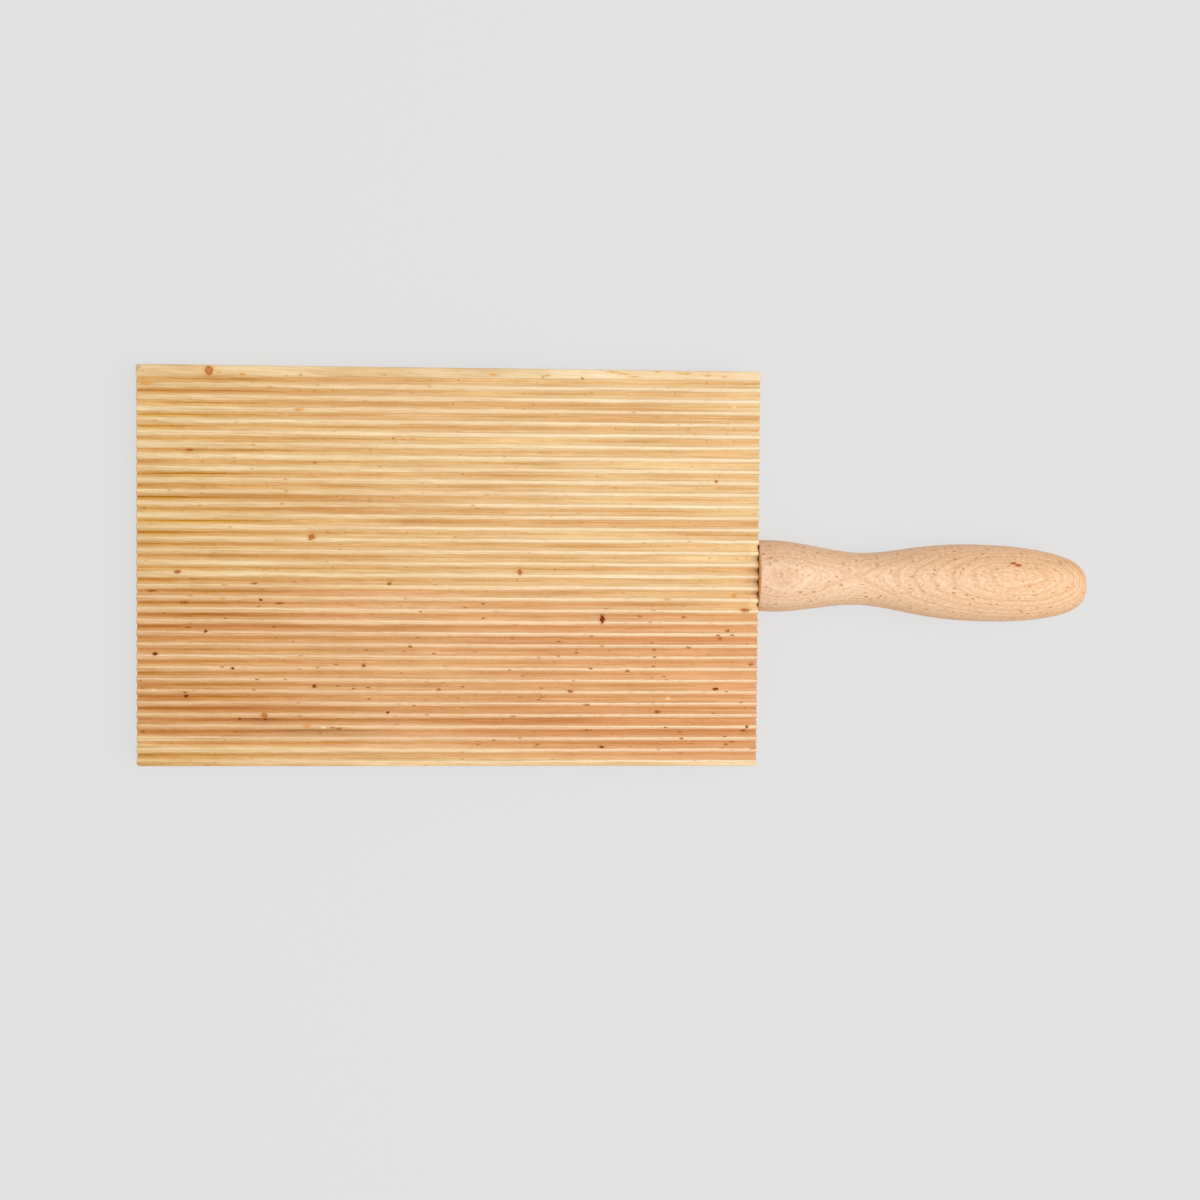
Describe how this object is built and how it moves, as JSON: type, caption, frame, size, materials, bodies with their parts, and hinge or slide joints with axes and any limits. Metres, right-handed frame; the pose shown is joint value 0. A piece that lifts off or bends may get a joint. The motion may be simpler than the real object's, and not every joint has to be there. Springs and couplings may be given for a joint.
{
  "type": "gnocchi board",
  "caption": "Rectangular wooden plank with closely spaced lengthwise ribs on its upper face and a slim turned handle glued into one end.",
  "frame": {"origin": "middle of the board's flat underside", "axes": "+X along the ribs towards the handle, +Z out of the ribbed face"},
  "size_m": [0.208, 0.086, 0.017],
  "materials": {
    "board_wood": "planed and ribbed, bare",
    "handle_beech": "turned and sanded, bare"
  },
  "bodies": {
    "root": {"ribbed_board": "board_wood", "turned_handle": "handle_beech"}
  },
  "joints": []
}
